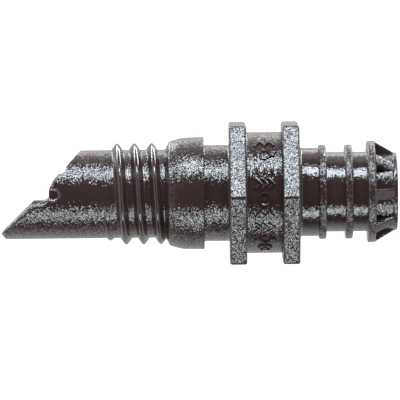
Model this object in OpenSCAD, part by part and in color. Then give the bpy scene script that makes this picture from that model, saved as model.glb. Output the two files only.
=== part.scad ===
// Self-tapping drip emitter for micro-irrigation, 22.9 mm long, with a 1 mm pitch thread at the
// inlet, an 8 mm spanner hex and a ribbed hose barb for 4.6 mm tube at the outlet.
// The long axis is X: the slanted inlet nose points to -X and the barb to +X. +Z is up.
// The origin is on the axis, on the face of the inlet hex flange that bears on the pipe wall.
// Water runs nose, strainer, labyrinth core, diaphragm, metering seat, outlet bore.

/* [Inlet nose] */
// Outside diameter of the nose, which is also the thread's root
nose_d = 5.1; // [4.8:0.05:5.3]
// Length from the tip to the hex flange
nose_len = 13.2; // [13.2:0.1:15]
// Slope of the cut below the notch, in degrees
cut_angle = 43; // [42:1:46]
// Slope of the cut above the notch, in degrees
upper_cut_angle = 48; // [44:1:50]
// Diameter of the water passage in the nose
lumen_d = 2.5; // [2.2:0.1:2.6]

/* [Thread] */
// Diameter over the thread crests
thread_d = 5.9; // [5.6:0.05:6.1]
// Axial distance from one crest to the next
thread_pitch = 1.0; // [0.9:0.05:1.1]
// Number of turns, the run-in included
thread_turns = 3.9; // [2.5:0.1:3.9]

/* [Sealing olive and pipe seat] */
// Largest diameter of the olive that seals in the pipe wall
olive_d = 6.5; // [6.2:0.05:6.8]
// Length of the olive, its steep entry cone included
olive_len = 2.2; // [2:0.1:2.4]
// Diameter of the neck that the pipe wall closes on
seat_d = 5.56; // [5.4:0.02:5.8]
// Width of the neck between the olive and the hex flange
seat_len = 1.3; // [1.1:0.1:1.5]

/* [Spanner hex] */
// Width across the flats of both hex flanges
hex_flats = 8.0; // [7.8:0.1:8.4]
// Thickness of each hex flange
hex_t = 1.0; // [0.8:0.05:1.1]
// Diameter of the drum between the hex flanges
drum_d = 7.0; // [6.9:0.05:7.2]
// Width of the drum between the hex flanges
drum_len = 2.05; // [2:0.05:2.4]

/* [Hose barb] */
// Diameter of the shank that the tube grips
shank_d = 4.6; // [4.4:0.05:4.8]
// Diameter of the shoulder next to the hex flange
shoulder_d = 5.1; // [5:0.05:5.2]
// Diameter of the two sealing rings
ring_d = 5.45; // [5.3:0.05:5.6]
// Diameter of the barb's crest
barb_d = 5.9; // [5.8:0.05:6.2]
// Number of ribs in the ribbed cone
barb_ribs = 8; // [6:1:10]
// Diameter of the outlet water passage
outlet_d = 2.4; // [2:0.1:2.6]

/* [Flow control] */
// Diameter of the bore that holds the labyrinth core
core_bore_d = 3.2; // [3:0.05:3.3]
// Teeth along each side of the labyrinth core
core_teeth = 8; // [5:1:8]
// Diameter of the silicone diaphragm
diaphragm_d = 4.3; // [4:0.05:4.4]
// Thickness of the silicone diaphragm
diaphragm_t = 0.5; // [0.45:0.05:0.55]
// Free travel of the diaphragm between its lugs and the metering seat
diaphragm_travel = 0.23; // [0.15:0.01:0.23]

/* [Hidden] */
$fn = 96;
eps = 0.01;
slip = 0.03;        // radial room of an insert in its bore
far = 20;           // longer than any cut needs

// Stations along the axis.
tip_x = -nose_len;
seat_x = -seat_len;
olive_x = seat_x - 0.2 - olive_len;
lumen_end_x = tip_x + 5.8;
cup_floor_x = 0.6;
seam_x = hex_t + drum_len;
hex2_end_x = seam_x + hex_t;

// The notch across the cut face, and the shallow pocket beside it in each side of the nose.
notch_floor_z = -0.45;
notch_wall_x = tip_x + 2.83;
notch_round = 0.5;
pocket_r = 0.38;
pocket_z = 0.17;
pocket_end_x = notch_wall_x + 0.72;
pocket_depth = 0.35;

// The cup that holds the flow control.
cup_r = 2.7;
spigot_r = cup_r - 0.02;
spigot_x = 2.6;
bead_x = 2.75;
bead_h = 0.08;
key_w = 0.6;
key_h = 0.18;

// The stack in the cup, from the floor to the spigot.
lug_t = 0.25;
disc_x = cup_floor_x + lug_t + eps;
land_x = disc_x + diaphragm_t + diaphragm_travel + eps;
land_t = 0.11;
plate_x = land_x + land_t;
plate_t = 0.4;
seal_w = 0.48;

// A solid of revolution about X. Each point of the profile is [radius, x].
module along_x(profile) {
    rotate([0, 90, 0])
        rotate_extrude()
            polygon(profile);
}

// A round bar or bore from x0 to x1.
module rod(d, x0, x1) {
    translate([x0, 0, 0])
        rotate([0, 90, 0])
            cylinder(d = d, h = x1 - x0);
}

// A block given by its low and high corners.
module block(low, high) {
    translate(low)
        cube(high - low);
}

// A hex flange with its flats up and down.
module hex_flange(x0) {
    translate([x0, 0, 0])
        rotate([0, 90, 0])
            rotate([0, 0, 30])
                cylinder(d = hex_flats / cos(30), h = hex_t, $fn = 6);
}

// An outline in the X-Z plane, drawn through the whole width of the part.
module through_y(outline) {
    translate([0, far / 2, 0])
        rotate([90, 0, 0])
            linear_extrude(far)
                polygon(outline);
}

// ---- Thread ----------------------------------------------------------------------------------

thread_steps = 24;          // rings for each turn
thread_foot = 0.66;         // axial width at the root
thread_tip = 0.2;           // axial width at the crest
thread_sunk = 0.12;         // how far the ridge reaches into the core
thread_run_in = 0.75;       // turns over which the ridge grows to its full height
thread_x = olive_x - 2.75;  // the first full crest, at the top of the part

function thread_height(turn) =
    (thread_d - nose_d) / 2 * min(1, max(0.04, turn / thread_run_in));

function thread_ring(turn) =
    let (angle = 360 * (turn - 0.9),
         x = thread_x + thread_pitch * (turn - 0.9),
         foot = nose_d / 2 - thread_sunk,
         crest = nose_d / 2 + thread_height(turn),
         flank = thread_sunk + (thread_d - nose_d) / 2,
         half_foot = thread_foot / 2 * (1 + thread_sunk / flank),
         half_tip = thread_tip / 2)
    [for (p = [[foot, -half_foot], [crest, -half_tip], [crest, half_tip], [foot, half_foot]])
        [x + p[1], -p[0] * sin(angle), p[0] * cos(angle)]];

module thread() {
    rings = round(thread_turns * thread_steps);
    points = [for (i = [0:rings]) each thread_ring(i / thread_steps)];
    sides = [for (i = [0:rings - 1], k = [0:3])
        let (a = 4 * i + k, b = 4 * i + (k + 1) % 4)
        each [[a, b, a + 4], [b, b + 4, a + 4]]];
    last = 4 * rings;
    ends = [[2, 1, 0], [3, 2, 0], [last, last + 1, last + 2], [last, last + 2, last + 3]];
    polyhedron(points, concat(sides, ends));
}

// ---- Inlet body: slanted nose, thread, olive, pipe seat, first hex flange and drum -------------

module inlet_outside() {
    nose_r = nose_d / 2;
    olive_r = olive_d / 2;
    seat_r = seat_d / 2;
    along_x([[0, tip_x], [nose_r - 0.3, tip_x], [nose_r, tip_x + 0.25],
             [nose_r, olive_x], [olive_r - 0.25, olive_x + 0.23],
             [olive_r - 0.08, olive_x + 0.75], [olive_r - 0.03, olive_x + 1.05],
             [olive_r, olive_x + olive_len], [seat_r + 0.07, seat_x - 0.06],
             [seat_r, seat_x], [seat_r, eps], [0, eps]]);
    hex_flange(0);
    rod(drum_d, hex_t - eps, seam_x);
}

// The slanted cut, with the rounded notch halfway up it.
module nose_cut() {
    slope = tan(cut_angle);
    tip_z = -2.15;
    foot_x = tip_x + (notch_floor_z - tip_z) / slope;
    shoulder_z = 0.55;
    back = far / 2;
    arc = [for (a = [270:15:360])
        [notch_wall_x - notch_round + notch_round * cos(a),
         notch_floor_z + notch_round + notch_round * sin(a)]];
    through_y(concat([[tip_x - back, tip_z - back * slope], [foot_x, notch_floor_z]], arc,
                     [[notch_wall_x, shoulder_z - 0.25], [notch_wall_x + 0.05, shoulder_z],
                      [notch_wall_x + 0.16, shoulder_z + 0.2],
                      [notch_wall_x + 0.16 + back / tan(upper_cut_angle), shoulder_z + 0.2 + back],
                      [tip_x - back, shoulder_z + 0.2 + back]]));
}

// A shallow pocket with a round end, sunk into each side of the nose behind the notch.
module side_pockets() {
    centre_x = pocket_end_x - pocket_r;
    floor_y = nose_d / 2 - pocket_depth;
    for (side = [-1, 1])
        translate([centre_x, side * (floor_y + 1), pocket_z])
            rotate([90, 0, 0])
                linear_extrude(2, center = true)
                    union() {
                        circle(r = pocket_r);
                        translate([-1, 0])
                            square([2, 2 * pocket_r], center = true);
                    }
}

module inlet_body() {
    color("#3a3130")
    difference() {
        union() {
            inlet_outside();
            thread();
        }
        nose_cut();
        rod(lumen_d, tip_x - 1, lumen_end_x + eps);
        rod(core_bore_d, lumen_end_x, cup_floor_x + eps);
        rod(2 * cup_r, cup_floor_x, seam_x + 1);
        side_pockets();
        // Snap groove for the outlet body's bead.
        along_x([[cup_r - eps, bead_x - 0.03], [cup_r + bead_h, bead_x + 0.05],
                 [cup_r + bead_h, bead_x + 0.15], [cup_r - eps, bead_x + 0.23]]);
        // Keyway that lines up the two hexes.
        block([spigot_x, -key_w / 2 - slip, cup_r - 0.5],
              [seam_x + 1, key_w / 2 + slip, cup_r + key_h]);
    }
}

// ---- Outlet body: second hex flange, shoulder, sealing rings and ribbed barb --------------------

shoulder_end_x = hex2_end_x + 1.1;
ring_w = 0.45;
ring2_x = shoulder_end_x + ring_w + 1.07;
barb_x = ring2_x + ring_w + 0.84;
barb_rim_w = 0.47;
cone_len = 1.06;
tip_w = 0.2;
end_x = barb_x + barb_rim_w + cone_len + tip_w;
barb_core_d = 4.4;
barb_tip_d = 4.52;
rib_t = 0.62;

// A ring with broken corners from x0 to x0 + w.
module ring(d, x0, w) {
    bevel = 0.08;
    along_x([[0, x0], [d / 2 - bevel, x0], [d / 2, x0 + bevel],
             [d / 2, x0 + w - bevel], [d / 2 - bevel, x0 + w], [0, x0 + w]]);
}

// The cone that the tube is pushed over, which only its ribs fill.
module barb_cone() {
    rim_x = barb_x + barb_rim_w;
    rim_r = barb_d / 2 - 0.06;
    intersection() {
        along_x([[0, rim_x - eps], [rim_r, rim_x - eps], [barb_tip_d / 2, rim_x + cone_len],
                 [barb_tip_d / 2, end_x - 0.05], [0, end_x - 0.05]]);
        for (i = [0:barb_ribs - 1])
            rotate([360 * i / barb_ribs, 0, 0])
                block([rim_x - eps, -rib_t / 2, 0], [end_x, rib_t / 2, barb_d]);
    }
}

module outlet_outside() {
    spigot_nose_d = 2 * (cup_r - seal_w - 0.07);
    hex_flange(seam_x);
    rod(spigot_nose_d, plate_x + plate_t + 0.02, spigot_x + eps);
    along_x([[0, spigot_x], [spigot_r - 0.02, spigot_x], [spigot_r, bead_x],
             [spigot_r + bead_h, bead_x + 0.07], [spigot_r + bead_h, bead_x + 0.13],
             [spigot_r, bead_x + 0.2], [spigot_r, seam_x + eps], [0, seam_x + eps]]);
    block([spigot_x + slip, -key_w / 2, spigot_r - 0.3],
          [seam_x + eps, key_w / 2, cup_r + key_h - slip]);
    rod(shoulder_d, hex2_end_x - eps, shoulder_end_x);
    rod(shank_d, shoulder_end_x - eps, barb_x + eps);
    ring(ring_d, shoulder_end_x, ring_w);
    ring(ring_d, ring2_x, ring_w);
    ring(barb_d, barb_x, barb_rim_w);
    rod(barb_core_d, barb_x, end_x - eps);
    barb_cone();
    rod(barb_tip_d, end_x - tip_w, end_x);
}

module outlet_body() {
    color("#3a3130")
    difference() {
        outlet_outside();
        rod(outlet_d, 0, end_x + 1);
    }
}

// ---- Inserts in the order in which the water meets them ----------------------------------------

strainer_flange_t = 0.3;
strainer_wall = 0.3;
strainer_gap = 0.3;         // water's way round the cage

// A capped cage with lengthwise slits, held by its flange at the inner end of the nose's passage.
// Its cap lies behind the slanted cut all round.
module inlet_strainer() {
    cage_d = lumen_d - 2 * strainer_gap;
    cap_x = notch_wall_x + 0.7;
    slit_w = 0.22;
    slits = 4;
    color("#2b2625")
    difference() {
        union() {
            rod(cage_d, cap_x, lumen_end_x + eps);
            rod(core_bore_d - 2 * slip, lumen_end_x, lumen_end_x + strainer_flange_t);
        }
        rod(cage_d - 2 * strainer_wall, cap_x + strainer_wall, 0);
        for (i = [0:slits - 1])
            rotate([45 * i + 22.5, 0, 0])
                block([cap_x + strainer_wall + 0.1, -slit_w / 2, -2],
                      [lumen_end_x - 0.3, slit_w / 2, 2]);
    }
}

core_x = lumen_end_x + strainer_flange_t + 0.3;
core_end_x = cup_floor_x - 0.05;

// A rod with a channel along each side, crossed by teeth that reach in from both edges by turns.
module labyrinth_core() {
    channel_w = 1.2;
    channel_floor = 0.9;
    tooth_t = 0.26;
    tooth_l = 0.78;
    first = core_x + 0.7;
    step = (core_end_x - 0.5 - first) / (core_teeth - 1);
    color("#e4dfd0")
    intersection() {
        union() {
            difference() {
                rod(core_bore_d, core_x, core_end_x);
                for (side = [-1, 1])
                    translate([0, side * (channel_floor + 1), 0])
                        block([core_x - 1, -1, -channel_w / 2], [core_end_x + 1, 1, channel_w / 2]);
            }
            for (side = [-1, 1], i = [0:core_teeth - 1])
                translate([first + i * step, side * (channel_floor + 0.45),
                           (i % 2 == 0 ? 1 : -1) * (channel_w + eps - tooth_l) / 2])
                    cube([tooth_t, 1, tooth_l], center = true);
            // Stand-off that keeps the inlet face clear of the strainer.
            rod(1.0, lumen_end_x + strainer_flange_t + 0.02, core_x + eps);
        }
        rod(core_bore_d - 2 * slip, lumen_end_x, core_end_x);
    }
}

// A ring in the cup with four lugs that hold the diaphragm off the floor.
module diaphragm_spacer() {
    ring_r = diaphragm_d / 2 + 0.17;
    color("#e4dfd0")
    difference() {
        rod(2 * (cup_r - slip), cup_floor_x, plate_x - 0.01);
        rod(2 * ring_r, cup_floor_x + lug_t, plate_x + 1);
        difference() {
            rod(2 * ring_r, cup_floor_x - 1, cup_floor_x + lug_t + eps);
            for (a = [0:90:270])
                rotate([a + 45, 0, 0])
                    block([cup_floor_x - 1, -0.3, 1.75], [cup_floor_x + 1, 0.3, 3]);
        }
    }
}

// The silicone disc that floats between the lugs and the metering seat.
module regulator_diaphragm() {
    color("#b5532a")
    rod(diaphragm_d, disc_x, disc_x + diaphragm_t);
}

// A plate with a raised land, a weir groove across the land and the metering hole.
module metering_seat() {
    land_r = 1.55;
    color("#e4dfd0")
    difference() {
        union() {
            rod(2 * (cup_r - slip), plate_x, plate_x + plate_t);
            rod(2 * land_r, land_x, plate_x + eps);
        }
        rod(2 * (land_r - 0.4), land_x - 1, plate_x);
        rod(0.9, 0, plate_x + plate_t + 1);
        block([land_x - 1, -0.14, 0.8], [land_x + 0.07, 0.14, 2]);
    }
}

// The O-ring in the corner between the metering seat and the outlet body's spigot.
module body_seal() {
    color("#1c1b1b")
    translate([(plate_x + plate_t + spigot_x) / 2, 0, 0])
        rotate([0, 90, 0])
            rotate_extrude()
                translate([cup_r - slip - seal_w / 2, 0])
                    circle(d = seal_w, $fn = 32);
}

inlet_body();
outlet_body();
inlet_strainer();
labyrinth_core();
diaphragm_spacer();
regulator_diaphragm();
metering_seat();
body_seal();
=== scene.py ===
"""Visual model of a self-tapping drip emitter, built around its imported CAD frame.

The fitting lies along X, its slanted inlet nose to -X and its ribbed barb to +X, with +Z up. The
two outer mouldings are built here as smooth, rounded and marked meshes that stand for their CAD
nodes. The inserts inside them keep their CAD meshes and get their own finishes. Every size below is
in millimetres, and a mesh is scaled to metres when it is finished.
"""

import logging
import math
from dataclasses import dataclass, field
from enum import Enum
from itertools import product
from typing import Callable

import bmesh
import bpy
from mathutils import Matrix, Vector, kdtree


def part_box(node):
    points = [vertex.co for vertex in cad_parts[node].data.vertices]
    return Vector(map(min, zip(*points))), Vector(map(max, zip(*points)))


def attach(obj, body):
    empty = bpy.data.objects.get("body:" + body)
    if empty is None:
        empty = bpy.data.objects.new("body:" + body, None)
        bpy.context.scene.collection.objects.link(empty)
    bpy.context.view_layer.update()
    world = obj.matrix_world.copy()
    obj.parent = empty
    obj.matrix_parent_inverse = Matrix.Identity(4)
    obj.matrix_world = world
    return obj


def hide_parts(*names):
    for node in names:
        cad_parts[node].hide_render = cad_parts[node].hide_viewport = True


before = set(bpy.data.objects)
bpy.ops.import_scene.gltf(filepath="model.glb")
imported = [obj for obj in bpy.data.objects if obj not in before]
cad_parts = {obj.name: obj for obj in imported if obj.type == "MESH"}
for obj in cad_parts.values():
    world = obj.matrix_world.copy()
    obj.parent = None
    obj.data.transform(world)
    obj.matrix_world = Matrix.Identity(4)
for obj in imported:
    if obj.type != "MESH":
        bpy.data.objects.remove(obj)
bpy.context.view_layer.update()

LOG = logging.getLogger("drip_emitter")
MM = 0.001
COLUMNS = 96        # steps round each turned surface, a whole number for each side of the hex
SOFT_EDGE = math.radians(33)    # edges that turn less than this are shaded smooth
WELD = 0.0005       # points closer than this are made one
FLANGE = 1.0        # thickness of each hex flange

Outline = list[tuple[float, float]]


# ---- Mesh tools ----


class Fuse(Enum):
    """How a second solid is combined with the first."""

    ADD = "UNION"
    CUT = "DIFFERENCE"


def rounded(corners: list[tuple[float, float, float]], segments: int = 4) -> Outline:
    """Rounds the corners of a closed outline.

    Args:
        corners: (x, radius from the axis, setback) of each corner. A setback of 0 keeps it sharp.
        segments: Segments along each rounded corner.

    Returns:
        The points of the outline.
    """
    points: Outline = []
    for i, (x, r, setback) in enumerate(corners):
        here = Vector((x, r))
        if setback == 0:
            points.append((x, r))
            continue
        before = Vector(corners[i - 1][:2])
        after = Vector(corners[(i + 1) % len(corners)][:2])
        start = here + (before - here).normalized() * setback
        end = here + (after - here).normalized() * setback
        for k in range(segments + 1):
            t = k / segments
            points.append(tuple(start.lerp(here, t).lerp(here.lerp(end, t), t)))
    return points


def spun(section: list[tuple[float, float, float]], axis: tuple[int, int, int],
         steps: int) -> bmesh.types.BMesh:
    """Spins a closed section a full turn round an axis through the origin.

    Args:
        section: Points of the closed section.
        axis: Direction of the axis.
        steps: Steps round it.

    Returns:
        The closed ring.
    """
    bm = bmesh.new()
    verts = [bm.verts.new(point) for point in section]
    edges = [bm.edges.new((verts[i - 1], vert)) for i, vert in enumerate(verts)]
    bmesh.ops.spin(bm, geom=verts + edges, cent=(0, 0, 0), axis=axis, dvec=(0, 0, 0),
                   angle=math.tau, steps=steps, use_merge=True, use_duplicate=False)
    return bm


def turned(outline: Outline) -> bmesh.types.BMesh:
    """Turns a closed outline of (x, radius) points into a solid round the X axis."""
    bm = spun([(x, 0.0, r) for x, r in outline], (1, 0, 0), COLUMNS)
    bmesh.ops.recalc_face_normals(bm, faces=bm.faces)
    return bm


def block(low: Vector, high: Vector) -> bmesh.types.BMesh:
    """Makes a block from its low and high corners.

    Args:
        low: Lowest corner.
        high: Highest corner.

    Returns:
        The block.
    """
    bm = bmesh.new()
    place = Matrix.Translation((high + low) / 2) @ Matrix.Diagonal(high - low).to_4x4()
    bmesh.ops.create_cube(bm, size=1.0, matrix=place)
    return bm


def prism_through_y(outline: Outline, half_width: float) -> bmesh.types.BMesh:
    """Extrudes a closed outline of (x, z) points along Y.

    Args:
        outline: Points of the outline.
        half_width: How far the prism reaches on each side.

    Returns:
        The closed prism.
    """
    bm = bmesh.new()
    face = bm.faces.new([bm.verts.new((x, -half_width, z)) for x, z in outline])
    made = bmesh.ops.extrude_face_region(bm, geom=[face])
    moved = [g for g in made["geom"] if isinstance(g, bmesh.types.BMVert)]
    bmesh.ops.translate(bm, vec=(0, 2 * half_width, 0), verts=moved)
    bmesh.ops.recalc_face_normals(bm, faces=bm.faces)
    return bm


def combined(body: bmesh.types.BMesh, tool: bmesh.types.BMesh, how: Fuse) -> bmesh.types.BMesh:
    """Adds a solid to another or cuts it away, exactly. Both are used up.

    Args:
        body: The solid that is worked on.
        tool: The solid that is added or cut away.
        how: Which of the two.

    Returns:
        The new solid.
    """
    helpers = []
    for bm in (body, tool):
        mesh = bpy.data.meshes.new("helper")
        bm.to_mesh(mesh)
        bm.free()
        helpers.append(bpy.data.objects.new("helper", mesh))
        bpy.context.scene.collection.objects.link(helpers[-1])
    modifier = helpers[0].modifiers.new("work", "BOOLEAN")
    modifier.operation = how.value
    modifier.solver = "EXACT"
    modifier.object = helpers[1]
    result = bmesh.new()
    result.from_object(helpers[0], bpy.context.evaluated_depsgraph_get())
    for helper in helpers:
        bpy.data.meshes.remove(helper.data)
    return result


def add_copy(target: bmesh.types.BMesh, source: bmesh.types.BMesh) -> None:
    """Adds a copy of source's geometry to target."""
    mesh = bpy.data.meshes.new("helper")
    source.to_mesh(mesh)
    target.from_mesh(mesh)
    bpy.data.meshes.remove(mesh)


def smooth_max(a: float, b: float, blend: float) -> float:
    """The larger of two numbers, rounded off over blend where they cross."""
    return max(a, b) + max(blend - abs(a - b), 0.0) ** 2 / (4 * blend)


def smooth_min(a: float, b: float, blend: float) -> float:
    """The smaller of two numbers, rounded off over blend where they cross."""
    return -smooth_max(-a, -b, blend)


def finished(bm: bmesh.types.BMesh, name: str, material: bpy.types.Material,
             grain: Callable[[Vector], float]) -> bpy.types.Object:
    """Turns a mesh in millimetres into a shaded, finished piece in metres.

    Args:
        bm: The mesh, which is used up.
        name: Name of the piece.
        material: Its finish.
        grain: Gives how coarse the skin is at a point: 0 is smooth and 1 the usual grain.

    Returns:
        The piece, with its place in its mesh.
    """
    bmesh.ops.remove_doubles(bm, verts=bm.verts, dist=WELD)
    bmesh.ops.dissolve_degenerate(bm, edges=bm.edges, dist=WELD)
    bmesh.ops.triangulate(bm, faces=[f for f in bm.faces if len(f.verts) > 4])
    values = [grain(vert.co) for vert in bm.verts]
    bmesh.ops.scale(bm, vec=(MM, MM, MM), verts=bm.verts)
    mesh = bpy.data.meshes.new(name)
    bm.to_mesh(mesh)
    bm.free()
    mesh.shade_smooth()
    mesh.set_sharp_from_angle(angle=SOFT_EDGE)
    mesh.attributes.new("grain", "FLOAT", "POINT").data.foreach_set("value", values)
    mesh.materials.append(material)
    piece = bpy.data.objects.new(name, mesh)
    bpy.context.scene.collection.objects.link(piece)
    normals = piece.modifiers.new("flat_faces_stay_flat", "WEIGHTED_NORMAL")
    normals.keep_sharp = True
    return piece


# ---- Finishes ----


def srgb(code: str) -> tuple[float, float, float, float]:
    """Turns an sRGB hex colour such as "#2c2323" into the linear colour that a shader takes.

    Args:
        code: The hex colour.

    Returns:
        Linear red, green, blue and 1 for alpha.
    """
    parts = [int(code[i:i + 2], 16) / 255 for i in (1, 3, 5)]
    linear = [p / 12.92 if p <= 0.04045 else ((p + 0.055) / 1.055) ** 2.4 for p in parts]
    return (*linear, 1.0)


def per_mm(size: float) -> float:
    """The texture scale at which a pattern repeats every size millimetres."""
    return 1 / (size * MM)


def add_node(tree: bpy.types.NodeTree, kind: str, inputs: dict[str | int, object] | None = None,
             **settings: object) -> bpy.types.Node:
    """Adds a node with its settings, its input values and its links.

    Args:
        tree: Node tree to add to.
        kind: The node's type.
        inputs: For each input, a value, or the output socket that feeds it.
        settings: The node's own settings.

    Returns:
        The node.
    """
    node = tree.nodes.new(kind)
    for name, value in settings.items():
        setattr(node, name, value)
    for name, value in (inputs or {}).items():
        if isinstance(value, bpy.types.NodeSocket):
            tree.links.new(value, node.inputs[name])
        else:
            node.inputs[name].default_value = value
    return node


def new_material(name: str) -> tuple[bpy.types.Material, bpy.types.NodeTree]:
    """Makes an empty node material.

    Args:
        name: Name of the material.

    Returns:
        The material and its node tree.
    """
    material = bpy.data.materials.new(name)
    material.use_nodes = True
    material.node_tree.nodes.clear()
    return material, material.node_tree


@dataclass(frozen=True)
class GrainedPolypropylene:
    """Polypropylene filled with carbon black, moulded in a spark-eroded tool.

    The erosion leaves craters under a tenth of a millimetre across, with finer pits in them. Each
    one tilts the glossy skin its own way, so a highlight breaks up into sparks. The plastic itself
    is a brown black. Where the tool was turned or polished, the craters are shallow, and where it
    was left rough they are deep.
    """

    name: str = "grained_polypropylene"
    colour: str = "#251a1a"
    colour_worn: str = "#2b1f1d"
    roughness: float = 0.10
    ior: float = 1.50
    crater: float = 0.062       # width of a spark crater
    pit: float = 0.032          # width of the finer pits
    tilt: float = 0.14          # steepest slope of a crater's skin, and of a pit's
    swell: float = 0.30         # width of the soft swellings under the craters
    swell_height: float = 0.003     # height of those swellings
    cloud: float = 1.6          # size of the faint clouds of colour

    def build(self) -> bpy.types.Material:
        """Builds the material."""
        material, tree = new_material(self.name)
        place = add_node(tree, "ShaderNodeTexCoord").outputs["Object"]
        coarse = add_node(tree, "ShaderNodeAttribute", attribute_name="grain").outputs["Fac"]
        swellings = add_node(tree, "ShaderNodeTexNoise", {
            "Vector": place, "Scale": per_mm(self.swell), "Detail": 1.0}).outputs["Fac"]
        swollen = add_node(tree, "ShaderNodeBump", {
            "Height": swellings, "Distance": self.swell_height * MM,
            "Strength": 1.0}).outputs["Normal"]
        crater, pit = (add_node(tree, "ShaderNodeTexVoronoi", {
            "Vector": place, "Scale": per_mm(size)}).outputs["Color"]
            for size in (self.crater, self.pit))
        # Two colours from 0 to 1 add up to 0 to 2, and doubling less 2 centres them on 0.
        sides = add_node(tree, "ShaderNodeVectorMath", {0: crater, 1: pit}, operation="ADD")
        way = add_node(tree, "ShaderNodeVectorMath", {
            0: sides.outputs[0], 1: (2.0, 2.0, 2.0), 2: (-2.0, -2.0, -2.0)},
            operation="MULTIPLY_ADD").outputs[0]
        steepness = add_node(tree, "ShaderNodeMath", {0: coarse, 1: self.tilt},
                             operation="MULTIPLY").outputs[0]
        slope = add_node(tree, "ShaderNodeVectorMath", {0: way, "Scale": steepness},
                         operation="SCALE").outputs[0]
        leaning = add_node(tree, "ShaderNodeVectorMath", {0: swollen, 1: slope},
                           operation="ADD").outputs[0]
        facing = add_node(tree, "ShaderNodeVectorMath", {0: leaning},
                          operation="NORMALIZE").outputs[0]
        clouds = add_node(tree, "ShaderNodeTexNoise", {
            "Vector": place, "Scale": per_mm(self.cloud), "Detail": 3.0}).outputs["Fac"]
        tint = add_node(tree, "ShaderNodeMix", {
            "Factor": clouds, "A": srgb(self.colour), "B": srgb(self.colour_worn)},
            data_type="RGBA").outputs["Result"]
        shader = add_node(tree, "ShaderNodeBsdfPrincipled", {
            "Base Color": tint, "Roughness": self.roughness, "IOR": self.ior,
            "Normal": facing})
        add_node(tree, "ShaderNodeOutputMaterial", {"Surface": shader.outputs[0]})
        return material


@dataclass(frozen=True)
class MouldedPlastic:
    """A plain moulded thermoplastic: a satin skin, faint flow clouds and very fine tool marks.

    Dark polypropylene makes the strainer and natural acetal makes the flow parts. Natural acetal lets a
    little light in, so its thin teeth and lugs glow slightly.
    """

    name: str
    colour: str
    colour_flow: str
    roughness: float
    ior: float
    glow: float = 0.0           # share of the light that enters the plastic
    glow_depth: float = 0.4     # how far it travels inside
    flow: float = 0.9           # size of the flow clouds
    marks: float = 0.05         # spacing of the tool marks, drawn coarser than the real 0.01
    depth: float = 0.0012       # depth of the tool marks
    cloud_edges: tuple[float, float] = (0.35, 0.7)      # where a flow cloud starts and is full
    gloss_range: tuple[float, float] = (-0.04, 0.06)    # how far the clouds shift the roughness

    def build(self) -> bpy.types.Material:
        """Builds the material."""
        material, tree = new_material(self.name)
        place = add_node(tree, "ShaderNodeTexCoord").outputs["Object"]
        clouds = add_node(tree, "ShaderNodeTexNoise", {
            "Vector": place, "Scale": per_mm(self.flow), "Detail": 3.0,
            "Distortion": 0.6}).outputs["Fac"]
        ramp = add_node(tree, "ShaderNodeValToRGB", {"Fac": clouds})
        ramp.color_ramp.elements[0].position = self.cloud_edges[0]
        ramp.color_ramp.elements[0].color = srgb(self.colour)
        ramp.color_ramp.elements[1].position = self.cloud_edges[1]
        ramp.color_ramp.elements[1].color = srgb(self.colour_flow)
        marks = add_node(tree, "ShaderNodeTexNoise", {
            "Vector": place, "Scale": per_mm(self.marks), "Detail": 2.0}).outputs["Fac"]
        bump = add_node(tree, "ShaderNodeBump", {
            "Height": marks, "Distance": self.depth * MM, "Strength": 1.0}).outputs["Normal"]
        gloss = add_node(tree, "ShaderNodeMapRange", {
            "Value": clouds, "To Min": self.roughness + self.gloss_range[0],
            "To Max": self.roughness + self.gloss_range[1]}).outputs["Result"]
        shader = add_node(tree, "ShaderNodeBsdfPrincipled", {
            "Base Color": ramp.outputs["Color"], "Roughness": gloss, "IOR": self.ior,
            "Subsurface Weight": self.glow, "Subsurface Scale": self.glow_depth * MM,
            "Normal": bump})
        add_node(tree, "ShaderNodeOutputMaterial", {"Surface": shader.outputs[0]})
        return material


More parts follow.
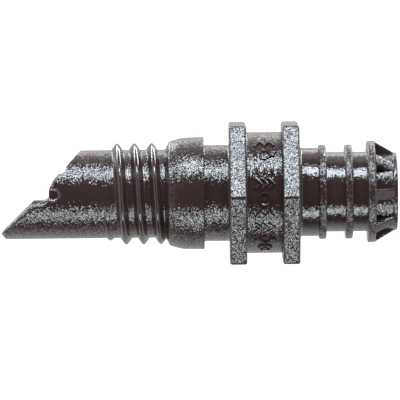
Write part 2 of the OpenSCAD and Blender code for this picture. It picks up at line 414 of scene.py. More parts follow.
@dataclass(frozen=True)
class MouldedRubber:
    """Cured elastomer: a soft, nearly matt skin with fine dust and shallow mottling.

    Orange liquid silicone makes the diaphragm, and it is slightly cloudy inside. Black nitrile rubber
    makes the O-ring, with a bloom that greys it a little.
    """

    name: str
    colour: str
    colour_dusty: str
    roughness: float
    ior: float
    glow: float = 0.0           # share of the light that enters the rubber
    glow_depth: float = 0.3     # how far it travels inside
    dust: float = 0.08          # spacing of the dust specks
    mottle: float = 0.7         # size of the shallow mottling
    depth: float = 0.004        # depth of the mottling
    sheen: float = 0.15         # the pale edge that dust and bloom give
    speck_edges: tuple[float, float] = (0.05, 0.22)     # where a speck ends and bare rubber starts
    gloss_range: float = 0.08   # how far the mottling shifts the roughness

    def build(self) -> bpy.types.Material:
        """Builds the material."""
        material, tree = new_material(self.name)
        place = add_node(tree, "ShaderNodeTexCoord").outputs["Object"]
        dust = add_node(tree, "ShaderNodeTexVoronoi", {
            "Vector": place, "Scale": per_mm(self.dust)}).outputs["Distance"]
        mottle = add_node(tree, "ShaderNodeTexNoise", {
            "Vector": place, "Scale": per_mm(self.mottle), "Detail": 4.0}).outputs["Fac"]
        ramp = add_node(tree, "ShaderNodeValToRGB", {"Fac": dust})
        ramp.color_ramp.elements[0].position = self.speck_edges[0]
        ramp.color_ramp.elements[0].color = srgb(self.colour_dusty)
        ramp.color_ramp.elements[1].position = self.speck_edges[1]
        ramp.color_ramp.elements[1].color = srgb(self.colour)
        bump = add_node(tree, "ShaderNodeBump", {
            "Height": mottle, "Distance": self.depth * MM, "Strength": 1.0}).outputs["Normal"]
        gloss = add_node(tree, "ShaderNodeMapRange", {
            "Value": mottle, "To Min": self.roughness - self.gloss_range,
            "To Max": self.roughness + self.gloss_range}).outputs["Result"]
        shader = add_node(tree, "ShaderNodeBsdfPrincipled", {
            "Base Color": ramp.outputs["Color"], "Roughness": gloss, "IOR": self.ior,
            "Subsurface Weight": self.glow, "Subsurface Scale": self.glow_depth * MM,
            "Sheen Weight": self.sheen, "Normal": bump})
        add_node(tree, "ShaderNodeOutputMaterial", {"Surface": shader.outputs[0]})
        return material


@dataclass(frozen=True)
class BackdropPaper:
    """Seamless white studio paper: quite matt, with a barely visible fibre."""

    name: str = "backdrop_paper"
    colour: str = "#f7f7f5"
    colour_fibre: str = "#fdfdfc"
    fibre: float = 0.8          # spacing of the fibre clouds
    lift: float = 0.9           # light from behind the translucent paper

    def build(self) -> bpy.types.Material:
        """Builds the material."""
        material, tree = new_material(self.name)
        place = add_node(tree, "ShaderNodeTexCoord").outputs["Object"]
        fibre = add_node(tree, "ShaderNodeTexNoise", {
            "Vector": place, "Scale": per_mm(self.fibre), "Detail": 5.0}).outputs["Fac"]
        ramp = add_node(tree, "ShaderNodeValToRGB", {"Fac": fibre})
        ramp.color_ramp.elements[0].color = srgb(self.colour)
        ramp.color_ramp.elements[1].color = srgb(self.colour_fibre)
        shader = add_node(tree, "ShaderNodeBsdfPrincipled", {
            "Base Color": ramp.outputs["Color"], "Roughness": 0.95, "IOR": 1.3,
            "Emission Color": srgb("#ffffff"), "Emission Strength": self.lift})
        add_node(tree, "ShaderNodeOutputMaterial", {"Surface": shader.outputs[0]})
        return material


# ---- Outer mouldings ----


@dataclass
class HexFlange:
    """A spanner flange with its flats up and down and its edges rounded by the tool."""

    start: float                # station of its left face
    corner_radius: float = 4.6188
    rounding: float = 0.14      # reach of the rounding on its edges

    def build(self) -> bmesh.types.BMesh:
        """Builds the flange as a closed solid, with two of its corners on the Y axis."""
        bm = bmesh.new()
        place = Matrix.Translation((self.start + FLANGE / 2, 0, 0))
        lay_along_x = Matrix.Rotation(math.radians(90), 4, "Y")
        corner_up = Matrix.Rotation(math.radians(90), 4, "X")
        bmesh.ops.create_cone(bm, cap_ends=True, segments=6, radius1=self.corner_radius,
                              radius2=self.corner_radius, depth=FLANGE,
                              matrix=place @ corner_up @ lay_along_x)
        flat_up = Matrix.Rotation(math.radians(30), 3, "X")
        bmesh.ops.rotate(bm, cent=(0, 0, 0), verts=bm.verts, matrix=flat_up)
        bmesh.ops.bevel(bm, geom=bm.edges, offset=self.rounding, offset_type="OFFSET",
                        segments=3, profile=0.5, affect="EDGES", material=-1)
        bmesh.ops.recalc_face_normals(bm, faces=bm.faces)
        return bm


@dataclass
class Thread:
    """The self-tapping thread: a rounded ridge that runs in over most of a turn."""

    root_radius: float = 2.55
    crest_radius: float = 2.95
    pitch: float = 1.0
    first_crest: float = -6.45  # station of the first full crest, at the top
    lead: float = 0.9           # turns before that crest
    turns: float = 3.9
    run_in: float = 0.75        # turns over which the ridge grows
    run_out: float = 0.125      # turns over which it ends
    growth: float = 1.4         # above 1 the ridge starts gently
    foot: float = 0.33          # half the ridge's width at its root
    first_foot: float = 0.45    # share of that width where the ridge starts
    tip: float = 0.08           # half the width of its flat crest
    lag: float = 0.12           # how far the ridge's middle lies behind the helix where it starts
    foot_round: float = 0.12    # rounding at the ridge's foot, as a share of its height
    crest_round: float = 0.5    # rounding at its crest, likewise
    fillet: float = 0.012       # blend into the root
    least: float = 0.004        # a ridge lower than this is left out

    def height(self, point: Vector) -> float:
        """Gives the ridge's height above the root.

        Args:
            point: A point on or near the thread.

        Returns:
            The height, 0 between the ridges.
        """
        angle = math.atan2(-point.y, point.z) / math.tau
        along = (point.x - self.first_crest) / self.pitch
        turn = angle + round(along - angle)
        grown = (turn + self.lead) / self.run_in
        left = (self.turns - self.lead - turn) / self.run_out
        full = max(0.0, min(1.0, grown, left)) ** self.growth
        if full <= 0:
            return 0.0
        foot = self.foot * (self.first_foot + (1 - self.first_foot) * full)
        shift = self.lag * (1 - full)
        share = (foot - abs((along - turn) * self.pitch - shift)) / (foot - self.tip * full)
        share = smooth_min(smooth_max(share, 0.0, self.foot_round), 1.0, self.crest_round)
        return (self.crest_radius - self.root_radius) * full * max(0.0, share)

    def cut_into(self, bm: bmesh.types.BMesh, start: float, end: float) -> None:
        """Raises the ridge on a turned surface.

        Args:
            bm: The solid, with rings close together from start to end.
            start: Station where the thread's rings begin.
            end: Station where they stop.
        """
        outside = self.root_radius - 0.05
        for vert in bm.verts:
            radius = math.hypot(vert.co.y, vert.co.z)
            if start <= vert.co.x <= end and radius > outside:
                raised = smooth_max(radius, self.root_radius + self.height(vert.co), self.fillet)
                raised = raised if raised > self.root_radius + self.least else radius
                vert.co.yz = vert.co.yz * (raised / radius)


class Mark(Enum):
    """The generic marks moulded on the drum."""

    CHEVRONS = "chevrons"
    DROP = "drop"
    RING = "ring"
    TICKS = "ticks"
    WAVE = "wave"


@dataclass
class MarkBand:
    """Two rows of raised marks on the drum, each mark laid out flat and then wrapped round it."""

    centre: float               # station of the middle of the band
    drum_radius: float
    reach: float = 0.52         # half the length of a mark along the axis
    span: float = 0.29          # half its width round the drum
    stroke: float = 0.14        # width of a stroke
    relief: float = 0.10        # height above the drum
    sunk: float = 0.04          # depth below the drum's skin, so that no gap shows
    edge: float = 0.045         # reach of the rounding on its top edges
    overlap: float = 0.6        # how far strokes run into each other, in stroke widths
    chevron: float = 0.3        # rise of a chevron
    tick_inset: float = 0.1     # from a mark's end to its first tick
    wave_swing: float = 0.6     # the wave's swing, as a share of span
    ring_growth: float = 0.06   # how far the ring is wider than span
    dot: float = 0.075          # radius of the dot in the ring
    drop_point: float = 0.16    # how far the drop's top is drawn out
    drop_taper: float = 0.55    # how much narrower the drop is at its top
    drop_lift: float = 0.02     # from the mark's middle to the drop's
    step: float = math.radians(14.5)    # turn from one mark to the next
    order: tuple[Mark, ...] = (Mark.WAVE, Mark.DROP, Mark.TICKS, Mark.CHEVRONS, Mark.RING,
                               Mark.WAVE, Mark.CHEVRONS, Mark.DROP, Mark.RING)
    rows: tuple[float, ...] = (math.radians(92), math.radians(272))     # turn of each row's middle

    def stroke_bar(self, bm: bmesh.types.BMesh, start: Vector, end: Vector) -> None:
        """Adds one straight stroke with softened edges.

        Args:
            bm: The flat layout.
            start: One end, as (round the drum, along the axis).
            end: The other end.
        """
        run = end - start
        middle = (start + end) / 2
        height = self.relief + self.sunk
        place = (Matrix.Translation((middle.x, middle.y, height / 2 - self.sunk))
                 @ Matrix.Rotation(math.atan2(run.y, run.x), 4, "Z")
                 @ Matrix.Diagonal((run.length + self.stroke * self.overlap, self.stroke, height, 1)))
        made = bmesh.ops.create_cube(bm, size=1.0, matrix=place)["verts"]
        rim = {e for v in made for e in v.link_edges if all(w.co.z > 0 for w in e.verts)}
        bmesh.ops.bevel(bm, geom=list(rim), offset=self.edge, offset_type="OFFSET", segments=2,
                        profile=0.5, affect="EDGES", material=-1)

    def loop(self, bm: bmesh.types.BMesh, middle: Vector, radius: float, point: float) -> None:
        """Adds a closed round stroke, drawn out to a point if it is a drop.

        Args:
            bm: The flat layout.
            middle: Its centre.
            radius: Radius of the middle of the stroke.
            point: How far its top is drawn out, 0 for a ring.
        """
        half, edge, top = self.stroke / 2, self.edge, self.relief
        section = [(radius - half, 0, -self.sunk), (radius + half, 0, -self.sunk),
                   (radius + half, 0, top - edge), (radius + half - edge, 0, top),
                   (radius - half + edge, 0, top), (radius - half, 0, top - edge)]
        part = spun(section, (0, 0, 1), 24)
        for vert in part.verts:
            rise = max(0.0, vert.co.y / radius)
            vert.co.x *= 1 - self.drop_taper * min(1.0, rise) * bool(point)
            vert.co.y += point * rise ** 2
        bmesh.ops.translate(part, vec=(middle.x, middle.y, 0), verts=part.verts)
        add_copy(bm, part)
        part.free()

    def lay_out(self, mark: Mark) -> bmesh.types.BMesh:
        """Lays out one mark flat, its length along Y.

        Args:
            mark: Which mark.

        Returns:
            The flat mark.
        """
        bm = bmesh.new()
        tip, side = self.reach, self.span
        if mark is Mark.CHEVRONS:
            rise = self.chevron
            strokes = [((way * side, foot), (0, foot + rise))
                       for foot in (-tip, -rise / 2, tip - rise) for way in (-1, 1)]
        elif mark is Mark.TICKS:
            last = tip - self.tick_inset
            strokes = [((-side, y), (side, y)) for y in (-last, 0, last)]
        elif mark is Mark.WAVE:
            turns = [((-1) ** k * side * self.wave_swing, -tip + k * tip / 2) for k in range(5)]
            strokes = list(zip(turns, turns[1:]))
        elif mark is Mark.RING:
            strokes = []
            self.loop(bm, Vector((0, 0)), side + self.ring_growth, 0.0)
            self.loop(bm, Vector((0, 0)), self.dot, 0.0)
        else:
            strokes = [((-side, -tip), (side, -tip))]
            self.loop(bm, Vector((0, self.drop_lift)), side, self.drop_point)
        for start, end in strokes:
            self.stroke_bar(bm, Vector(start), Vector(end))
        return bm

    def build(self) -> bmesh.types.BMesh:
        """Builds the whole band, wrapped round the drum."""
        band = bmesh.new()
        middle = (len(self.order) - 1) / 2
        for row, (i, mark) in product(self.rows, enumerate(self.order)):
            part = self.lay_out(mark)
            turn = row + (i - middle) * self.step
            for vert in part.verts:
                round_the_drum, along, height = vert.co
                angle = turn + round_the_drum / self.drum_radius
                radius = self.drum_radius + height
                vert.co = (self.centre + along, -radius * math.sin(angle),
                           radius * math.cos(angle))
            bmesh.ops.recalc_face_normals(part, faces=part.faces)
            add_copy(band, part)
            part.free()
        return band


@dataclass
class InletMoulding:
    """The inlet body: slanted nose, thread, olive, pipe seat, first hex flange and marked drum."""

    tip: float                  # station of the nose's tip
    seam: float                 # station of the joint with the outlet body
    nose_radius: float = 2.55
    lumen_radius: float = 1.25
    lumen_end: float = -7.4
    core_radius: float = 1.6
    cup_floor: float = 0.6
    cup_radius: float = 2.7
    olive_radius: float = 3.25
    olive_start: float = -3.7
    seat_start: float = -1.3
    seat_radius: float = 2.78
    drum_radius: float = 3.5
    ring_step: float = 0.03     # spacing of the rings that carry the thread
    cut_angle: float = 43.0
    upper_cut_angle: float = 48.0
    cut_foot: float = -2.15     # height at which the lower cut meets the tip
    notch_floor: float = -0.45
    notch_round: float = 0.5
    notch_depth: float = 2.83   # from the tip to the notch's wall
    nose_length: float = 4.6    # from the tip to where the thread's rings begin
    nose_mesh: float = 0.11     # longest edge of the nose's faces
    nose_splits: int = 5
    flat_turn: float = math.radians(5)      # edges that turn less than this lie in a flat face
    nose_rings: int = 27        # rings on the plain skin behind the tip
    nose_ring_step: float = 0.16
    cone_length: float = 0.23   # the olive's entry cone
    cone_rise: float = 0.45
    snap_depth: float = 0.08    # depth of the groove that the outlet body snaps into
    key_half: float = 0.33      # half the width of the slot for the outlet body's key
    scoop: tuple[float, float, float] = (0.46, 0.2, 0.42)   # half sizes of the scoop by the notch
    scoop_behind: float = 0.22  # from the notch's wall to the scoop's middle
    scoop_height: float = 0.17
    lower_rim_rounds: int = 16  # times that the lower cut's outer rim is smoothed
    rim_rounds: int = 5
    lower_cut_grain: float = 1.8
    cut_grain: float = 0.7      # on the upper cut, the notch and the bore
    crest_grain: float = 0.3    # on the thread's crests
    polished_grain: float = 0.4     # on the olive's cone and the marks
    lower_rim: float = 0.34     # reach of the rounding on the lower cut's outer rim
    rim: float = 0.14           # reach of the rounding on every other rim of the nose
    thread: Thread = field(default_factory=Thread)

    def outline(self) -> Outline:
        """Gives the closed outline that is spun, outside first and then the bores."""
        nose, olive, seat, drum = (self.nose_radius, self.olive_radius, self.seat_radius,
                                   self.drum_radius)
        thread_start = self.tip + self.nose_length + 0.15
        outside = [(self.tip, nose - 0.3, 0), (self.tip + 0.25, nose, 0.1)]
        outside += [(self.tip + 0.45 + self.nose_ring_step * i, nose, 0)
                    for i in range(self.nose_rings)]
        rings = int((self.olive_start - thread_start) / self.ring_step)
        outside += [(thread_start + i * self.ring_step, nose, 0) for i in range(1, rings)]
        cone = self.olive_start
        outside += [(cone + self.cone_length * i / 7, nose + self.cone_rise * i / 7, 0)
                    for i in range(7)]
        outside += [
            (cone + self.cone_length, olive - 0.25, 0.03), (cone + 0.75, olive - 0.08, 0.2),
            (cone + 1.1, olive - 0.025, 0.12), (self.seat_start - 0.14, olive, 0.08),
            (self.seat_start - 0.14, seat + 0.02, 0.04), (self.seat_start, seat, 0.02),
            (0, seat, 0.1), (0, seat + 0.2, 0), (FLANGE / 2, seat + 0.2, 0),
            (FLANGE / 2, drum + 0.12, 0), (FLANGE, drum + 0.12, 0), (FLANGE, drum, 0.07),
            (self.seam, drum, 0.05)]
        cup, deep = self.cup_radius, self.cup_radius + self.snap_depth
        groove = [(self.seam, cup, 0.03), (2.98, cup, 0), (2.90, deep, 0), (2.80, deep, 0),
                  (2.72, cup, 0)]
        bores = [(self.cup_floor, self.cup_radius, 0), (self.cup_floor, self.core_radius, 0),
                 (self.lumen_end, self.core_radius, 0), (self.lumen_end, self.lumen_radius, 0),
                 (self.tip, self.lumen_radius, 0)]
        return rounded(outside + groove + bores)

    def cut_outline(self) -> Outline:
        """Gives the outline of what the slanted cut and its notch take away."""
        back = 8.0
        slope = math.tan(math.radians(self.cut_angle))
        wall = self.tip + self.notch_depth
        middle = Vector((wall - self.notch_round, self.notch_floor + self.notch_round))
        foot = self.tip + (self.notch_floor - self.cut_foot) / slope
        arc = [(middle.x + self.notch_round * math.cos(math.radians(a)),
                middle.y + self.notch_round * math.sin(math.radians(a)))
               for a in range(270, 361, 10)]
        top = [(wall, 0.30), (wall + 0.02, 0.45), (wall + 0.08, 0.62), (wall + 0.18, 0.78)]
        away = wall + 0.18 + back / math.tan(math.radians(self.upper_cut_angle))
        return [(self.tip - back, self.cut_foot - back * slope), (foot, self.notch_floor),
                *arc, *top, (away, 0.78 + back), (self.tip - back, 0.78 + back)]

    def dimple(self, side: int) -> bmesh.types.BMesh:
        """Makes the shallow scoop beside the notch.

        Args:
            side: -1 for the side towards -Y, 1 for the other.

        Returns:
            The solid that is cut away.
        """
        bm = bmesh.new()
        centre = Vector((self.tip + self.notch_depth + self.scoop_behind,
                         side * (self.nose_radius - 0.02), self.scoop_height))
        bmesh.ops.create_uvsphere(bm, u_segments=32, v_segments=20, radius=1.0,
                                  matrix=Matrix.Translation(centre)
                                  @ Matrix.Diagonal(Vector(self.scoop)).to_4x4())
        return bm

    def soften_rims(self, bm: bmesh.types.BMesh) -> None:
        """Rounds the nose's sharp rims, the lower cut's outer rim most.

        The faces of the nose are made small first, and the points near a rim are then smoothed.

        Args:
            bm: The moulding, with the cut and the scoops in it.
        """
        def on_nose(part: bmesh.types.BMFace | bmesh.types.BMEdge) -> bool:
            """Tells whether a face or edge lies ahead of the thread."""
            return max(v.co.x for v in part.verts) < self.tip + self.nose_length

        def even_out() -> None:
            """Makes triangles of the nose's faces and turns the edges that lie in flat faces."""
            bmesh.ops.triangulate(bm, faces=[f for f in bm.faces if on_nose(f)])
            flat = [e for e in bm.edges if on_nose(e) and e.calc_face_angle(9.0) < self.flat_turn]
            bmesh.ops.beautify_fill(bm, faces=[f for f in bm.faces if on_nose(f)], edges=flat)

        even_out()
        for _ in range(self.nose_splits):
            long_edges = [e for e in bm.edges if on_nose(e) and e.calc_length() > self.nose_mesh]
            bmesh.ops.subdivide_edges(bm, edges=long_edges, cuts=1)
            even_out()
        sharp = [e for e in bm.edges if on_nose(e) and e.calc_face_angle(0.0) > SOFT_EDGE * 0.8]
        corners = {v for e in sharp for v in e.verts}
        low_rim = {v for v in corners if v.co.z < self.notch_floor - 0.1
                   and math.hypot(v.co.y, v.co.z) > self.nose_radius - 0.1
                   and v.co.x > self.tip + 0.3}
        for rims, reach, rounds in ((low_rim, self.lower_rim, self.lower_rim_rounds),
                                    (corners, self.rim, self.rim_rounds)):
            tree = kdtree.KDTree(len(rims))
            for i, vert in enumerate(rims):
                tree.insert(vert.co, i)
            tree.balance()
            near = [v for v in bm.verts if v.co.x < self.tip + self.nose_length
                    and tree.find(v.co)[2] < reach]
            for _ in range(rounds):
                bmesh.ops.smooth_vert(bm, verts=near, factor=0.5, use_axis_x=True,
                                      use_axis_y=True, use_axis_z=True)

    def grain(self, point: Vector) -> float:
        """Gives how coarse the tool left the surface.

        Args:
            point: A point on the moulding.

        Returns:
            1 on plain skin, more on the lower cut, and less on the other cut faces, the thread's
            crests, the marks and the olive's cone.
        """
        radius = math.hypot(point.y, point.z)
        if point.x < self.tip + self.nose_length:
            if radius > self.nose_radius - 0.006:
                return 1.0
            return self.lower_cut_grain if point.z < self.notch_floor else self.cut_grain
        if point.x < self.olive_start - 0.02:
            up = min(1.0, max(0.0, (radius - self.nose_radius - 0.02) / 0.08))
            return 1.0 - (1.0 - self.crest_grain) * up
        on_cone = point.x < self.olive_start + 0.22
        above = radius - self.drum_radius
        on_marks = point.x > FLANGE + 0.2 and 0.03 < above < 0.12
        return self.polished_grain if on_cone or on_marks else 1.0

    def build(self, material: bpy.types.Material) -> bpy.types.Object:
        """Builds the moulding.

        Args:
            material: Its finish.

        Returns:
            The finished piece.
        """
        bm = turned(self.outline())
        self.thread.cut_into(bm, self.tip + self.nose_length + 0.2,
                             self.olive_start + self.cone_length + 0.01)
        bm = combined(bm, HexFlange(0.0).build(), Fuse.ADD)
        slot = block(Vector((2.6, -self.key_half, 2.2)),
                     Vector((self.seam + 1, self.key_half, 2.88)))
        bm = combined(bm, slot, Fuse.CUT)
        bm = combined(bm, prism_through_y(self.cut_outline(), 4.0), Fuse.CUT)
        for side in (-1, 1):
            bm = combined(bm, self.dimple(side), Fuse.CUT)
        bmesh.ops.remove_doubles(bm, verts=bm.verts, dist=0.004)
        self.soften_rims(bm)
        marks = MarkBand((FLANGE + self.seam) / 2, self.drum_radius).build()
        add_copy(bm, marks)
        marks.free()
        return finished(bm, "inlet_body_moulding", material, self.grain)


@dataclass
class OutletMoulding:
    """The outlet body: second hex flange, shoulder, sealing rings and the ribbed barb."""

    seam: float                 # station of the joint with the inlet body
    end: float                  # station of the barb's end
    bore_radius: float = 1.2
    spigot_start: float = 2.13
    spigot_nose_radius: float = 2.15
    spigot_radius: float = 2.68
    shoulder_radius: float = 2.55
    shoulder_end: float = 5.15
    shank_radius: float = 2.3
    ring_radius: float = 2.725
    ring_width: float = 0.45
    second_ring: float = 6.67
    barb_start: float = 7.96
    barb_rim: float = 0.47
    barb_radius: float = 2.95
    cone_start_radius: float = 2.89
    core_radius: float = 2.2
    tip_radius: float = 2.26
    tip_width: float = 0.2
    ribs: int = 8
    rib_width: float = 0.64
    rib_round: float = 0.07     # reach of the rounding on a rib's long edges
    snap_height: float = 0.08   # height of the bead that snaps into the inlet body
    key_half: float = 0.3       # half the width of the key that stops the bodies turning
    cone_grain: float = 0.9
    ring_grain: float = 1.5
    shank_grain: float = 0.55

    def outline(self) -> Outline:
        """Gives the closed outline that is spun, without the ribs."""
        flange_end = self.seam + FLANGE
        spigot, shank, ring = self.spigot_radius, self.shank_radius, self.ring_radius
        bead = spigot + self.snap_height
        inside = [
            (self.spigot_start, self.bore_radius, 0.05),
            (self.spigot_start, self.spigot_nose_radius, 0.05), (2.6, self.spigot_nose_radius, 0),
            (2.6, spigot - 0.02, 0.03), (2.75, spigot, 0), (2.82, bead, 0), (2.88, bead, 0),
            (2.95, spigot, 0), (self.seam, spigot, 0), (self.seam, 3.2, 0),
            (self.seam + FLANGE / 2, 3.2, 0), (self.seam + FLANGE / 2, spigot + 0.05, 0)]
        shoulder = [
            (flange_end, spigot + 0.05, 0), (flange_end + 0.13, self.shoulder_radius, 0.06),
            (self.shoulder_end, self.shoulder_radius, 0.02)]
        barb = [
            (self.shoulder_end, ring, 0.13), (self.shoulder_end + self.ring_width, ring, 0.13),
            (self.shoulder_end + self.ring_width, shank, 0.03),
            (self.second_ring, shank, 0.03), (self.second_ring, ring, 0.14),
            (self.second_ring + self.ring_width, ring, 0.13),
            (self.second_ring + self.ring_width, shank, 0.03),
            (self.barb_start, shank, 0.04), (self.barb_start, self.barb_radius, 0.13),
            (self.barb_start + self.barb_rim, self.barb_radius - 0.03, 0.10),
            (self.barb_start + self.barb_rim, self.core_radius, 0.06),
            (self.end - self.tip_width - 0.1, self.core_radius, 0.06),
            (self.end - self.tip_width, self.tip_radius, 0.04),
            (self.end, self.tip_radius - 0.01, 0.05), (self.end, self.bore_radius, 0.06)]
        return rounded(inside + shoulder + barb)

    def rib(self) -> bmesh.types.BMesh:
        """Builds the top rib of the barb's cone, with its edges rounded."""
        start = self.barb_start + self.barb_rim
        stop = self.end - self.tip_width
        half = self.rib_width / 2
        bm = block(Vector((start - 0.1, -half, 2.0)), Vector((stop + 0.05, half, 3.1)))
        slope = Vector((self.cone_start_radius - self.tip_radius, 0, stop - start))
        cut = bmesh.ops.bisect_plane(bm, geom=[*bm.verts, *bm.edges, *bm.faces],
                                     plane_co=(start, 0, self.cone_start_radius),
                                     plane_no=slope.normalized(), clear_outer=True)
        bmesh.ops.holes_fill(bm, edges=[g for g in cut["geom_cut"]
                                        if isinstance(g, bmesh.types.BMEdge)])
        long_edges = [e for e in bm.edges if abs(e.verts[0].co.y - e.verts[1].co.y) < 0.01
                      and min(v.co.z for v in e.verts) > self.core_radius]
        bmesh.ops.bevel(bm, geom=long_edges, offset=self.rib_round, offset_type="OFFSET",
                        segments=3, profile=0.5, affect="EDGES", material=-1)
        bmesh.ops.recalc_face_normals(bm, faces=bm.faces)
        return bm

    def grain(self, point: Vector) -> float:
        """Gives how coarse the tool left the surface.

        Args:
            point: A point on the moulding.

        Returns:
            Most on the rings, 1 on the flange, a little less on the ribbed cone, and least on
            the shank.
        """
        radius = math.hypot(point.y, point.z)
        if point.x > self.barb_start + self.barb_rim + 0.05 and radius > self.core_radius - 0.05:
            return self.cone_grain
        if point.x > self.seam + 1.05:
            return self.ring_grain if radius > self.ring_radius - 0.05 else self.shank_grain
        return 1.0

    def build(self, material: bpy.types.Material) -> bpy.types.Object:
        """Builds the moulding.

        Args:
            material: Its finish.

        Returns:
            The finished piece.
        """
        bm = turned(self.outline())
        bm = combined(bm, HexFlange(self.seam).build(), Fuse.ADD)
        ribs = bmesh.new()
        for i in range(self.ribs):
            rib = self.rib()
            bmesh.ops.rotate(rib, cent=(0, 0, 0), verts=rib.verts,
                             matrix=Matrix.Rotation(math.tau * i / self.ribs, 3, "X"))
            add_copy(ribs, rib)
            rib.free()
        bm = combined(bm, ribs, Fuse.ADD)
        key = block(Vector((2.63, -self.key_half, 2.4)),
                    Vector((self.seam + 0.01, self.key_half, 2.85)))
        bm = combined(bm, key, Fuse.ADD)
        return finished(bm, "outlet_body_moulding", material, self.grain)


# ---- Inserts ----


@dataclass
class Insert:
    """A piece inside the mouldings that keeps its CAD mesh and gets its finish."""

    node: str
    finish: MouldedPlastic | MouldedRubber

    def dress(self, made: dict[str, bpy.types.Material]) -> bpy.types.Object:
        """Gives the node its finish.

        Args:
            made: The materials made so far, by name, so that pieces of one plastic share it.

        Returns:
            The node's object.
        """
        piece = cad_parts[self.node]
        if self.finish.name not in made:
            made[self.finish.name] = self.finish.build()
        piece.data.materials.clear()
        piece.data.materials.append(made[self.finish.name])
        return piece


# ---- Studio ----


@dataclass
class Softbox:
    """A soft area light that points at the middle of the fitting."""

    name: str
    azimuth: float              # 0 is in front of the fitting, towards -Y
    elevation: float
    distance: float
    width: float
    height: float
    radiance: float
    colour: str

    def build(self, aim: Vector) -> bpy.types.Object:
        """Builds the light.

        Args:
            aim: The point it faces, in millimetres.

        Returns:
            The light's object.
        """
        turn, rise = math.radians(self.azimuth), math.radians(self.elevation)
        away = Vector((math.sin(turn) * math.cos(rise), -math.cos(turn) * math.cos(rise),
                       math.sin(rise)))
        light = bpy.data.lights.new(self.name, "AREA")
        light.shape = "RECTANGLE"
        light.size = self.width * MM
        light.size_y = self.height * MM
        light.energy = self.radiance * math.pi * light.size * light.size_y
        light.color = srgb(self.colour)[:3]
        lamp = bpy.data.objects.new(self.name, light)
        lamp.location = (aim + away * self.distance) * MM
        lamp.rotation_euler = away.to_track_quat("Z", "Y").to_euler()
        lamp.visible_camera = False
        bpy.context.scene.collection.objects.link(lamp)
        return lamp


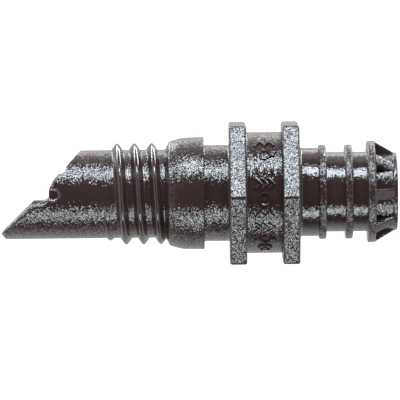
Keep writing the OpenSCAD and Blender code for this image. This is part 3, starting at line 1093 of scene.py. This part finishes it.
@dataclass
class Studio:
    """White sweep, softboxes in front and behind, bright surroundings and a long lens."""

    aim: Vector = field(default_factory=lambda: Vector((-1.69, 0.0, -0.394)))
    view_width: float = 23.15
    elevation: float = 4.1
    roll: float = -0.6
    lens: float = 400.0
    sensor: float = 36.0
    floor_depth: float = 130.0
    floor_half: float = 900.0
    sweep_rise: float = 700.0   # height of the sweep behind the fitting
    sweep_bend: float = 200.0   # radius of its bend
    front_light: float = 0.07
    rim_light: float = 1.35     # just behind the fitting, where its upper and lower edges look
    back_light: float = 0.75    # straight behind it
    side_light: float = 1.4     # to its left and right, where the rounded edges of rings look
    rim_range: tuple[float, float] = (-0.03, 0.40)  # how far back a ray looks, for the rim light
    back_range: tuple[float, float] = (0.50, 0.95)  # the same, for the back light
    side_range: tuple[float, float] = (0.55, 0.85)  # how far aside it looks, for the side light
    softboxes: tuple[Softbox, ...] = (
        Softbox("upper_softbox", 0, 62, 120, 170, 28, 32.5, "#e6f3fb"),
        Softbox("lower_softbox", 0, -53, 90, 140, 18, 17.0, "#eef7fb"),
        Softbox("rear_softbox", 180, 38, 160, 170, 50, 2.6, "#fbfaf7"),
        Softbox("rear_right_softbox", 136, 36, 160, 110, 32, 15.0, "#f2f6fb"),
        Softbox("rear_left_softbox", 224, 36, 160, 110, 32, 15.0, "#f2f6fb"),
    )

    def build_floor(self) -> bpy.types.Object:
        """Builds the floor with a sweep that curves up behind."""
        bm = bmesh.new()
        half, bend = self.floor_half, self.sweep_bend
        curve = [(-half, 0.0), (half - bend, 0.0)]
        curve += [(half - bend + bend * math.sin(a), bend - bend * math.cos(a))
                  for a in (math.radians(d) for d in range(10, 91, 10))]
        curve.append((half, self.sweep_rise))
        line = [bm.verts.new((-half, y, z - self.floor_depth)) for y, z in curve]
        edges = [bm.edges.new(pair) for pair in zip(line, line[1:])]
        made = bmesh.ops.extrude_edge_only(bm, edges=edges)["geom"]
        bmesh.ops.translate(bm, vec=(2 * half, 0, 0),
                            verts=[g for g in made if isinstance(g, bmesh.types.BMVert)])
        bmesh.ops.recalc_face_normals(bm, faces=bm.faces)
        if sum(f.normal.z for f in bm.faces) < 0:
            bmesh.ops.reverse_faces(bm, faces=bm.faces)
        bmesh.ops.scale(bm, vec=(MM, MM, MM), verts=bm.verts)
        mesh = bpy.data.meshes.new("studio_floor")
        bm.to_mesh(mesh)
        bm.free()
        mesh.shade_smooth()
        mesh.materials.append(BackdropPaper().build())
        floor = bpy.data.objects.new("studio_floor", mesh)
        bpy.context.scene.collection.objects.link(floor)
        for ray in ("diffuse", "glossy", "transmission", "shadow"):
            setattr(floor, "visible_" + ray, False)
        return floor

    def build_world(self) -> None:
        """Builds the surroundings: dim in front of the fitting, bright beside it and behind it."""
        world = bpy.data.worlds.new("studio_surroundings")
        bpy.context.scene.world = world
        world.use_nodes = True
        tree = world.node_tree
        tree.nodes.clear()
        direction = add_node(tree, "ShaderNodeTexCoord").outputs["Generated"]
        split = add_node(tree, "ShaderNodeSeparateXYZ", {0: direction}).outputs
        aside = add_node(tree, "ShaderNodeMath", {0: split["X"]}, operation="ABSOLUTE").outputs[0]
        rim = add_node(tree, "ShaderNodeMapRange", {
            "Value": split["Y"], "From Min": self.rim_range[0], "From Max": self.rim_range[1],
            "To Min": self.front_light, "To Max": self.rim_light},
            interpolation_type="SMOOTHSTEP").outputs["Result"]
        back = add_node(tree, "ShaderNodeMapRange", {
            "Value": split["Y"], "From Min": self.back_range[0], "From Max": self.back_range[1],
            "To Min": 1.0, "To Max": self.back_light / self.rim_light}).outputs["Result"]
        side = add_node(tree, "ShaderNodeMapRange", {
            "Value": aside, "From Min": self.side_range[0], "From Max": self.side_range[1],
            "To Min": 0.0, "To Max": self.side_light},
            interpolation_type="SMOOTHSTEP").outputs["Result"]
        behind = add_node(tree, "ShaderNodeMath", {0: rim, 1: back},
                          operation="MULTIPLY").outputs[0]
        strength = add_node(tree, "ShaderNodeMath", {0: behind, 1: side},
                            operation="MAXIMUM").outputs[0]
        around = add_node(tree, "ShaderNodeBackground", {
            "Color": srgb("#f6fdfa"), "Strength": strength}).outputs[0]
        plain = add_node(tree, "ShaderNodeBackground", {
            "Color": srgb("#ffffff"), "Strength": 1.0}).outputs[0]
        seen = add_node(tree, "ShaderNodeLightPath").outputs["Is Camera Ray"]
        mixed = add_node(tree, "ShaderNodeMixShader", {0: seen, 1: around, 2: plain}).outputs[0]
        add_node(tree, "ShaderNodeOutputWorld", {"Surface": mixed})

    def build_camera(self) -> bpy.types.Object:
        """Builds the camera: a long lens, level with the fitting and slightly above it."""
        data = bpy.data.cameras.new("camera")
        data.lens = self.lens
        data.sensor_width = self.sensor
        distance = self.view_width / 2 / (self.sensor / 2 / self.lens)
        rise = math.radians(self.elevation)
        away = Vector((0, -math.cos(rise), math.sin(rise)))
        data.clip_start, data.clip_end = distance * MM * 0.05, distance * MM * 40
        camera = bpy.data.objects.new("camera", data)
        camera.location = (self.aim + away * distance) * MM
        tilt = Matrix.Rotation(math.radians(self.roll), 4, "Z")
        camera.rotation_euler = (away.to_track_quat("Z", "Y").to_matrix().to_4x4() @ tilt).to_euler()
        bpy.context.scene.collection.objects.link(camera)
        bpy.context.scene.camera = camera
        return camera

    def build(self) -> None:
        """Builds the whole studio."""
        bpy.context.scene.view_settings.view_transform = "Standard"
        self.build_floor()
        self.build_world()
        self.build_camera()
        for softbox in self.softboxes:
            softbox.build(self.aim)


# ---- The whole fitting ----

NATURAL_ACETAL = MouldedPlastic("natural_acetal", "#e6e1d2", "#d9d3c2", 0.36, 1.48, glow=0.25)
STRAINER_PLASTIC = MouldedPlastic("strainer_polypropylene", "#2a2524", "#322c29", 0.42, 1.50)
ORANGE_SILICONE = MouldedRubber("orange_silicone", "#b5532a", "#c27a54", 0.55, 1.41, glow=0.2)
BLACK_NITRILE = MouldedRubber("black_nitrile", "#1b1a1a", "#34322f", 0.6, 1.52)

INSERTS = (
    Insert("inlet_strainer", STRAINER_PLASTIC),
    Insert("labyrinth_core", NATURAL_ACETAL),
    Insert("diaphragm_spacer", NATURAL_ACETAL),
    Insert("regulator_diaphragm", ORANGE_SILICONE),
    Insert("metering_seat", NATURAL_ACETAL),
    Insert("body_seal", BLACK_NITRILE),
)


def main() -> None:
    """Builds the studio, the two mouldings and the inserts."""
    logging.basicConfig(level=logging.INFO, format="%(name)s: %(message)s")
    inlet_low, inlet_high = (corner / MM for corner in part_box("inlet_body"))
    outlet_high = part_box("outlet_body")[1] / MM
    Studio().build()
    shell_finish = GrainedPolypropylene().build()
    inlet = InletMoulding(inlet_low.x, inlet_high.x).build(shell_finish)
    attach(inlet, "shell")
    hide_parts("inlet_body")
    outlet = OutletMoulding(inlet_high.x, outlet_high.x).build(shell_finish)
    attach(outlet, "shell")
    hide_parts("outlet_body")
    for piece in (inlet, outlet):
        LOG.info("%s has %d faces", piece.name, len(piece.data.polygons))
    made: dict[str, bpy.types.Material] = {}
    for insert in INSERTS:
        piece = insert.dress(made)
        LOG.info("%s is finished in %s", piece.name, insert.finish.name)


if __name__ == "__main__":
    main()
